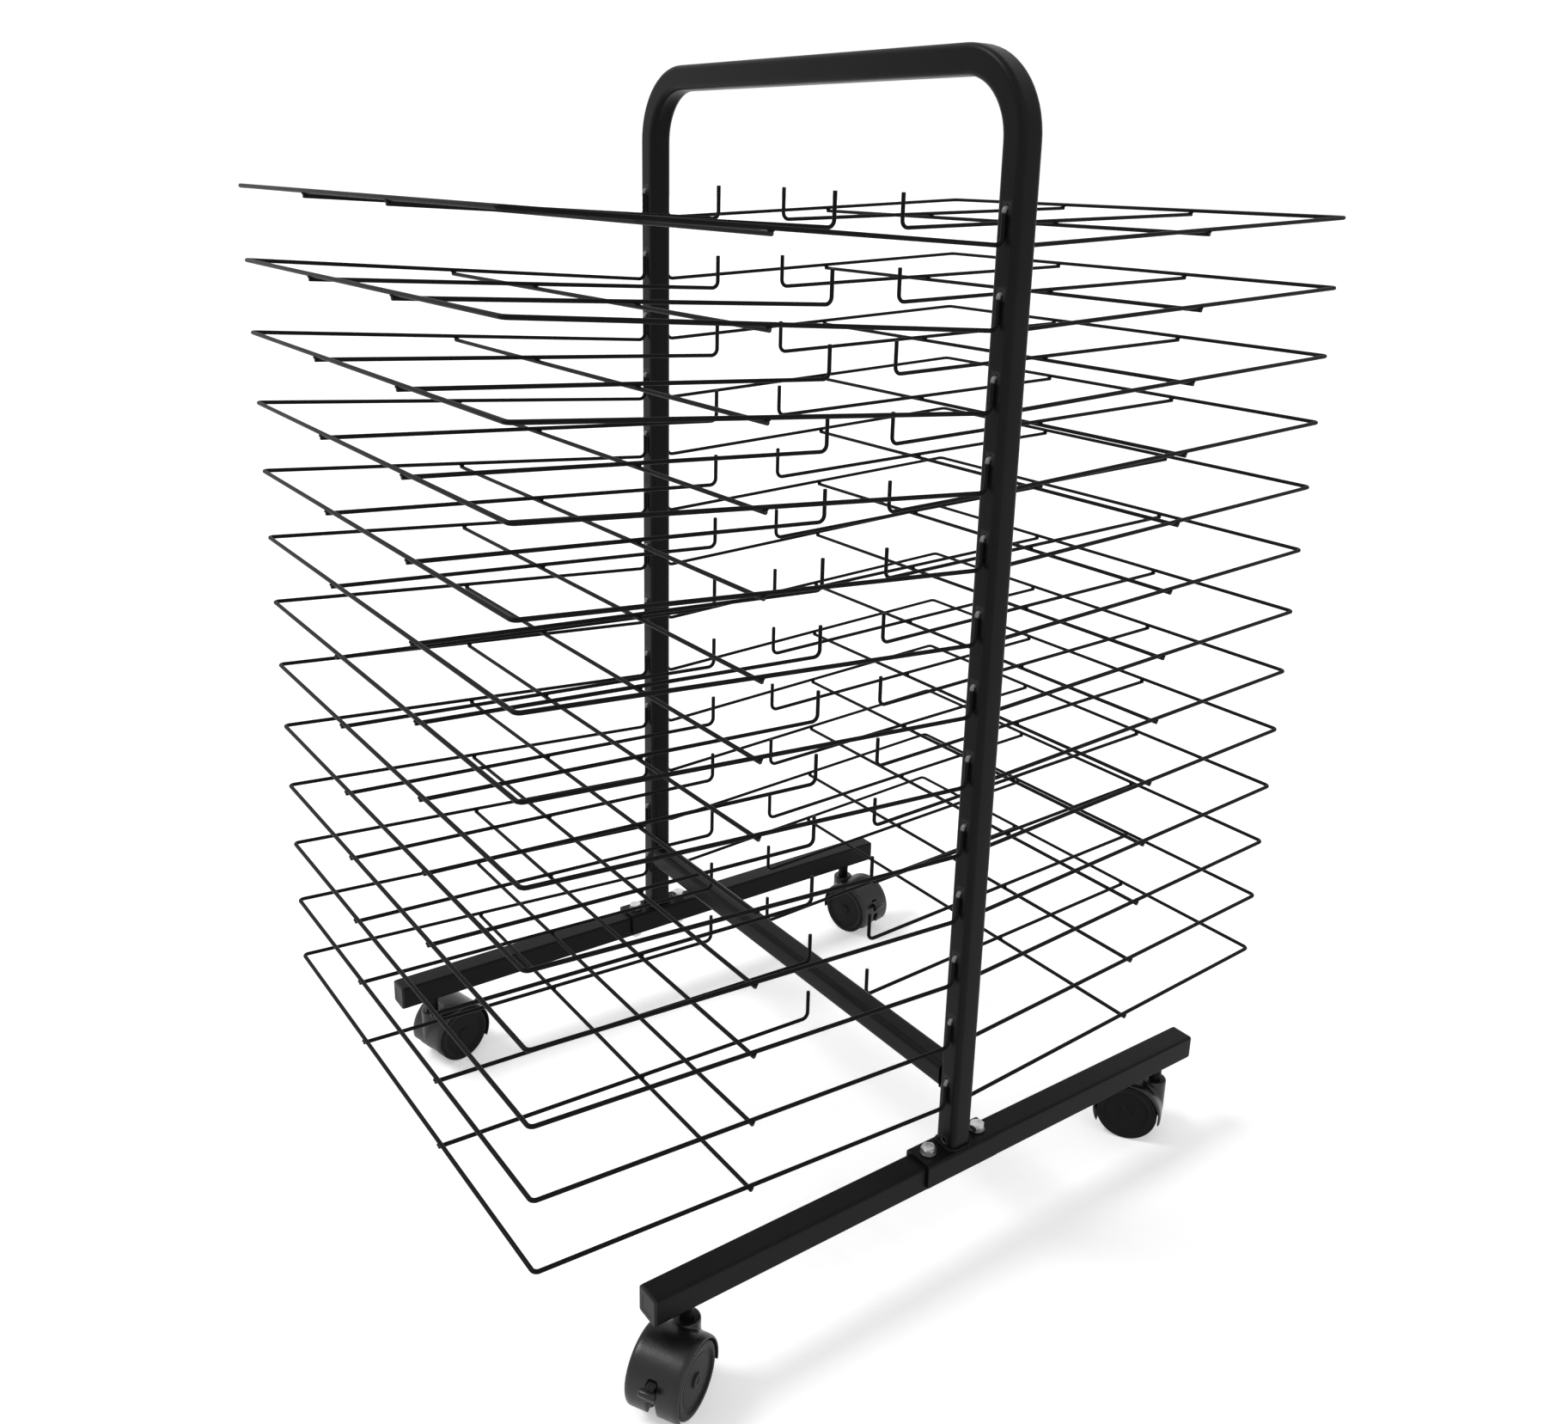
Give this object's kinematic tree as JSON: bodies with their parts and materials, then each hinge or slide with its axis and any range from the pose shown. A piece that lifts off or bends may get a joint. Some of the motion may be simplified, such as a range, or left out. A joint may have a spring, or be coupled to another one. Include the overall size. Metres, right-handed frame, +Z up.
{
  "type": "art drying rack",
  "caption": "Two-sided mobile art drying rack: black bent-tube frame carrying tilted wire shelves hooked on both faces, on feet with twin-wheel swivel casters.",
  "frame": {"origin": "on the floor, midway between the four casters, under the middle of the frame", "axes": "+X along the frame from the left upright to the right one, +Y from the front shelves to the back shelves, +Z up"},
  "size_m": [0.501, 0.6808, 0.849],
  "materials": {
    "black_steel": "satin black powder coat",
    "shelf_wire": "semi-gloss black coated wire",
    "zinc": "bright zinc plate",
    "black_plastic": "moulded black nylon, fine texture",
    "wheel_plastic": "smooth dark moulded nylon"
  },
  "bodies": {
    "frame": {"u_frame": "black_steel", "crossbar": "black_steel", "saddle_left": "black_steel", "saddle_right": "black_steel", "foot_left": "black_steel", "foot_right": "black_steel", "foot_end_caps": "black_plastic", "saddle_bolts": "zinc", "saddle_washers": "zinc", "saddle_nuts": "zinc", "caster_stems": "black_steel", "stem_nuts": "zinc"},
    "shelf_front_13": {"shelf_front_13": "shelf_wire"},
    "shelf_front_12": {"shelf_front_12": "shelf_wire"},
    "shelf_front_11": {"shelf_front_11": "shelf_wire"},
    "shelf_front_10": {"shelf_front_10": "shelf_wire"},
    "shelf_front_09": {"shelf_front_09": "shelf_wire"},
    "shelf_front_08": {"shelf_front_08": "shelf_wire"},
    "shelf_front_07": {"shelf_front_07": "shelf_wire"},
    "shelf_front_06": {"shelf_front_06": "shelf_wire"},
    "shelf_front_05": {"shelf_front_05": "shelf_wire"},
    "shelf_front_04": {"shelf_front_04": "shelf_wire"},
    "shelf_front_03": {"shelf_front_03": "shelf_wire"},
    "shelf_front_02": {"shelf_front_02": "shelf_wire"},
    "shelf_front_01": {"shelf_front_01": "shelf_wire"},
    "shelf_back_13": {"shelf_back_13": "shelf_wire"},
    "shelf_back_12": {"shelf_back_12": "shelf_wire"},
    "shelf_back_11": {"shelf_back_11": "shelf_wire"},
    "shelf_back_10": {"shelf_back_10": "shelf_wire"},
    "shelf_back_09": {"shelf_back_09": "shelf_wire"},
    "shelf_back_08": {"shelf_back_08": "shelf_wire"},
    "shelf_back_07": {"shelf_back_07": "shelf_wire"},
    "shelf_back_06": {"shelf_back_06": "shelf_wire"},
    "shelf_back_05": {"shelf_back_05": "shelf_wire"},
    "shelf_back_04": {"shelf_back_04": "shelf_wire"},
    "shelf_back_03": {"shelf_back_03": "shelf_wire"},
    "shelf_back_02": {"shelf_back_02": "shelf_wire"},
    "shelf_back_01": {"shelf_back_01": "shelf_wire"},
    "caster_front_left": {"caster_front_left_hood": "black_plastic", "caster_front_left_axle": "zinc"},
    "caster_front_left_wheel_a": {"caster_front_left_wheel_a": "wheel_plastic"},
    "caster_front_left_wheel_b": {"caster_front_left_wheel_b": "wheel_plastic"},
    "caster_front_left_brake": {"caster_front_left_brake": "black_plastic"},
    "caster_front_right": {"caster_front_right_hood": "black_plastic", "caster_front_right_axle": "zinc"},
    "caster_front_right_wheel_a": {"caster_front_right_wheel_a": "wheel_plastic"},
    "caster_front_right_wheel_b": {"caster_front_right_wheel_b": "wheel_plastic"},
    "caster_front_right_brake": {"caster_front_right_brake": "black_plastic"},
    "caster_back_left": {"caster_back_left_hood": "black_plastic", "caster_back_left_axle": "zinc"},
    "caster_back_left_wheel_a": {"caster_back_left_wheel_a": "wheel_plastic"},
    "caster_back_left_wheel_b": {"caster_back_left_wheel_b": "wheel_plastic"},
    "caster_back_left_brake": {"caster_back_left_brake": "black_plastic"},
    "caster_back_right": {"caster_back_right_hood": "black_plastic", "caster_back_right_axle": "zinc"},
    "caster_back_right_wheel_a": {"caster_back_right_wheel_a": "wheel_plastic"},
    "caster_back_right_wheel_b": {"caster_back_right_wheel_b": "wheel_plastic"},
    "caster_back_right_brake": {"caster_back_right_brake": "black_plastic"}
  },
  "joints": [
    {"name": "shelf_front_13_lift", "type": "hinge", "parent": "frame", "child": "shelf_front_13", "pos_m": [0, -0.00875, 0.144], "axis": [-1, 0, 0], "range_deg": [0, 7]},
    {"name": "shelf_front_12_lift", "type": "hinge", "parent": "frame", "child": "shelf_front_12", "pos_m": [0, -0.00875, 0.1948], "axis": [-1, 0, 0], "range_deg": [0, 7]},
    {"name": "shelf_front_11_lift", "type": "hinge", "parent": "frame", "child": "shelf_front_11", "pos_m": [0, -0.00875, 0.2456], "axis": [-1, 0, 0], "range_deg": [0, 7]},
    {"name": "shelf_front_10_lift", "type": "hinge", "parent": "frame", "child": "shelf_front_10", "pos_m": [0, -0.00875, 0.2964], "axis": [-1, 0, 0], "range_deg": [0, 7]},
    {"name": "shelf_front_09_lift", "type": "hinge", "parent": "frame", "child": "shelf_front_09", "pos_m": [0, -0.00875, 0.3472], "axis": [-1, 0, 0], "range_deg": [0, 7]},
    {"name": "shelf_front_08_lift", "type": "hinge", "parent": "frame", "child": "shelf_front_08", "pos_m": [0, -0.00875, 0.398], "axis": [-1, 0, 0], "range_deg": [0, 7]},
    {"name": "shelf_front_07_lift", "type": "hinge", "parent": "frame", "child": "shelf_front_07", "pos_m": [0, -0.00875, 0.4488], "axis": [-1, 0, 0], "range_deg": [0, 7]},
    {"name": "shelf_front_06_lift", "type": "hinge", "parent": "frame", "child": "shelf_front_06", "pos_m": [0, -0.00875, 0.4996], "axis": [-1, 0, 0], "range_deg": [0, 7]},
    {"name": "shelf_front_05_lift", "type": "hinge", "parent": "frame", "child": "shelf_front_05", "pos_m": [0, -0.00875, 0.5504], "axis": [-1, 0, 0], "range_deg": [0, 7]},
    {"name": "shelf_front_04_lift", "type": "hinge", "parent": "frame", "child": "shelf_front_04", "pos_m": [0, -0.00875, 0.6012], "axis": [-1, 0, 0], "range_deg": [0, 7]},
    {"name": "shelf_front_03_lift", "type": "hinge", "parent": "frame", "child": "shelf_front_03", "pos_m": [0, -0.00875, 0.652], "axis": [-1, 0, 0], "range_deg": [0, 7]},
    {"name": "shelf_front_02_lift", "type": "hinge", "parent": "frame", "child": "shelf_front_02", "pos_m": [0, -0.00875, 0.7028], "axis": [-1, 0, 0], "range_deg": [0, 7]},
    {"name": "shelf_front_01_lift", "type": "hinge", "parent": "frame", "child": "shelf_front_01", "pos_m": [0, -0.00875, 0.7536], "axis": [-1, 0, 0], "range_deg": [0, 7]},
    {"name": "shelf_back_13_lift", "type": "hinge", "parent": "frame", "child": "shelf_back_13", "pos_m": [0, 0.00875, 0.144], "axis": [1, 0, 0], "range_deg": [0, 7]},
    {"name": "shelf_back_12_lift", "type": "hinge", "parent": "frame", "child": "shelf_back_12", "pos_m": [0, 0.00875, 0.1948], "axis": [1, 0, 0], "range_deg": [0, 7]},
    {"name": "shelf_back_11_lift", "type": "hinge", "parent": "frame", "child": "shelf_back_11", "pos_m": [0, 0.00875, 0.2456], "axis": [1, 0, 0], "range_deg": [0, 7]},
    {"name": "shelf_back_10_lift", "type": "hinge", "parent": "frame", "child": "shelf_back_10", "pos_m": [0, 0.00875, 0.2964], "axis": [1, 0, 0], "range_deg": [0, 7]},
    {"name": "shelf_back_09_lift", "type": "hinge", "parent": "frame", "child": "shelf_back_09", "pos_m": [0, 0.00875, 0.3472], "axis": [1, 0, 0], "range_deg": [0, 7]},
    {"name": "shelf_back_08_lift", "type": "hinge", "parent": "frame", "child": "shelf_back_08", "pos_m": [0, 0.00875, 0.398], "axis": [1, 0, 0], "range_deg": [0, 7]},
    {"name": "shelf_back_07_lift", "type": "hinge", "parent": "frame", "child": "shelf_back_07", "pos_m": [0, 0.00875, 0.4488], "axis": [1, 0, 0], "range_deg": [0, 7]},
    {"name": "shelf_back_06_lift", "type": "hinge", "parent": "frame", "child": "shelf_back_06", "pos_m": [0, 0.00875, 0.4996], "axis": [1, 0, 0], "range_deg": [0, 7]},
    {"name": "shelf_back_05_lift", "type": "hinge", "parent": "frame", "child": "shelf_back_05", "pos_m": [0, 0.00875, 0.5504], "axis": [1, 0, 0], "range_deg": [0, 7]},
    {"name": "shelf_back_04_lift", "type": "hinge", "parent": "frame", "child": "shelf_back_04", "pos_m": [0, 0.00875, 0.6012], "axis": [1, 0, 0], "range_deg": [0, 7]},
    {"name": "shelf_back_03_lift", "type": "hinge", "parent": "frame", "child": "shelf_back_03", "pos_m": [0, 0.00875, 0.652], "axis": [1, 0, 0], "range_deg": [0, 7]},
    {"name": "shelf_back_02_lift", "type": "hinge", "parent": "frame", "child": "shelf_back_02", "pos_m": [0, 0.00875, 0.7028], "axis": [1, 0, 0], "range_deg": [0, 7]},
    {"name": "shelf_back_01_lift", "type": "hinge", "parent": "frame", "child": "shelf_back_01", "pos_m": [0, 0.00875, 0.7536], "axis": [1, 0, 0], "range_deg": [0, 7]},
    {"name": "caster_front_left_swivel", "type": "hinge", "parent": "frame", "child": "caster_front_left", "pos_m": [-0.215, -0.23, 0.0525], "axis": [0, 0, 1], "continuous": true},
    {"name": "caster_front_left_wheel_a_roll", "type": "hinge", "parent": "caster_front_left", "child": "caster_front_left_wheel_a", "pos_m": [-0.2196, -0.21156, 0.025], "axis": [0.9703, 0.2419, 0], "continuous": true},
    {"name": "caster_front_left_wheel_b_roll", "type": "hinge", "parent": "caster_front_left", "child": "caster_front_left_wheel_b", "pos_m": [-0.2196, -0.21156, 0.025], "axis": [0.9703, 0.2419, 0], "continuous": true},
    {"name": "caster_front_left_brake_press", "type": "hinge", "parent": "caster_front_left", "child": "caster_front_left_brake", "pos_m": [-0.2222, -0.20112, 0.03615], "axis": [-0.9703, -0.2419, 0], "range_deg": [0, 12]},
    {"name": "caster_front_right_swivel", "type": "hinge", "parent": "frame", "child": "caster_front_right", "pos_m": [0.215, -0.23, 0.0525], "axis": [0, 0, 1], "continuous": true},
    {"name": "caster_front_right_wheel_a_roll", "type": "hinge", "parent": "caster_front_right", "child": "caster_front_right_wheel_a", "pos_m": [0.22421, -0.24662, 0.025], "axis": [-0.8746, -0.4848, 0], "continuous": true},
    {"name": "caster_front_right_wheel_b_roll", "type": "hinge", "parent": "caster_front_right", "child": "caster_front_right_wheel_b", "pos_m": [0.22421, -0.24662, 0.025], "axis": [-0.8746, -0.4848, 0], "continuous": true},
    {"name": "caster_front_right_brake_press", "type": "hinge", "parent": "caster_front_right", "child": "caster_front_right_brake", "pos_m": [0.22943, -0.25604, 0.03615], "axis": [0.8746, 0.4848, 0], "range_deg": [0, 12]},
    {"name": "caster_back_left_swivel", "type": "hinge", "parent": "frame", "child": "caster_back_left", "pos_m": [-0.215, 0.23, 0.0525], "axis": [0, 0, 1], "continuous": true},
    {"name": "caster_back_left_wheel_a_roll", "type": "hinge", "parent": "caster_back_left", "child": "caster_back_left_wheel_a", "pos_m": [-0.19642, 0.23395, 0.025], "axis": [0.2079, -0.9781, 0], "continuous": true},
    {"name": "caster_back_left_wheel_b_roll", "type": "hinge", "parent": "caster_back_left", "child": "caster_back_left_wheel_b", "pos_m": [-0.19642, 0.23395, 0.025], "axis": [0.2079, -0.9781, 0], "continuous": true},
    {"name": "caster_back_left_brake_press", "type": "hinge", "parent": "caster_back_left", "child": "caster_back_left_brake", "pos_m": [-0.18588, 0.23619, 0.03615], "axis": [-0.2079, 0.9781, 0], "range_deg": [0, 12]},
    {"name": "caster_back_right_swivel", "type": "hinge", "parent": "frame", "child": "caster_back_right", "pos_m": [0.215, 0.23, 0.0525], "axis": [0, 0, 1], "continuous": true},
    {"name": "caster_back_right_wheel_a_roll", "type": "hinge", "parent": "caster_back_right", "child": "caster_back_right_wheel_a", "pos_m": [0.19944, 0.2191, 0.025], "axis": [-0.5736, 0.8192, 0], "continuous": true},
    {"name": "caster_back_right_wheel_b_roll", "type": "hinge", "parent": "caster_back_right", "child": "caster_back_right_wheel_b", "pos_m": [0.19944, 0.2191, 0.025], "axis": [-0.5736, 0.8192, 0], "continuous": true},
    {"name": "caster_back_right_brake_press", "type": "hinge", "parent": "caster_back_right", "child": "caster_back_right_brake", "pos_m": [0.19062, 0.21293, 0.03615], "axis": [0.5736, -0.8192, 0], "range_deg": [0, 12]}
  ]
}
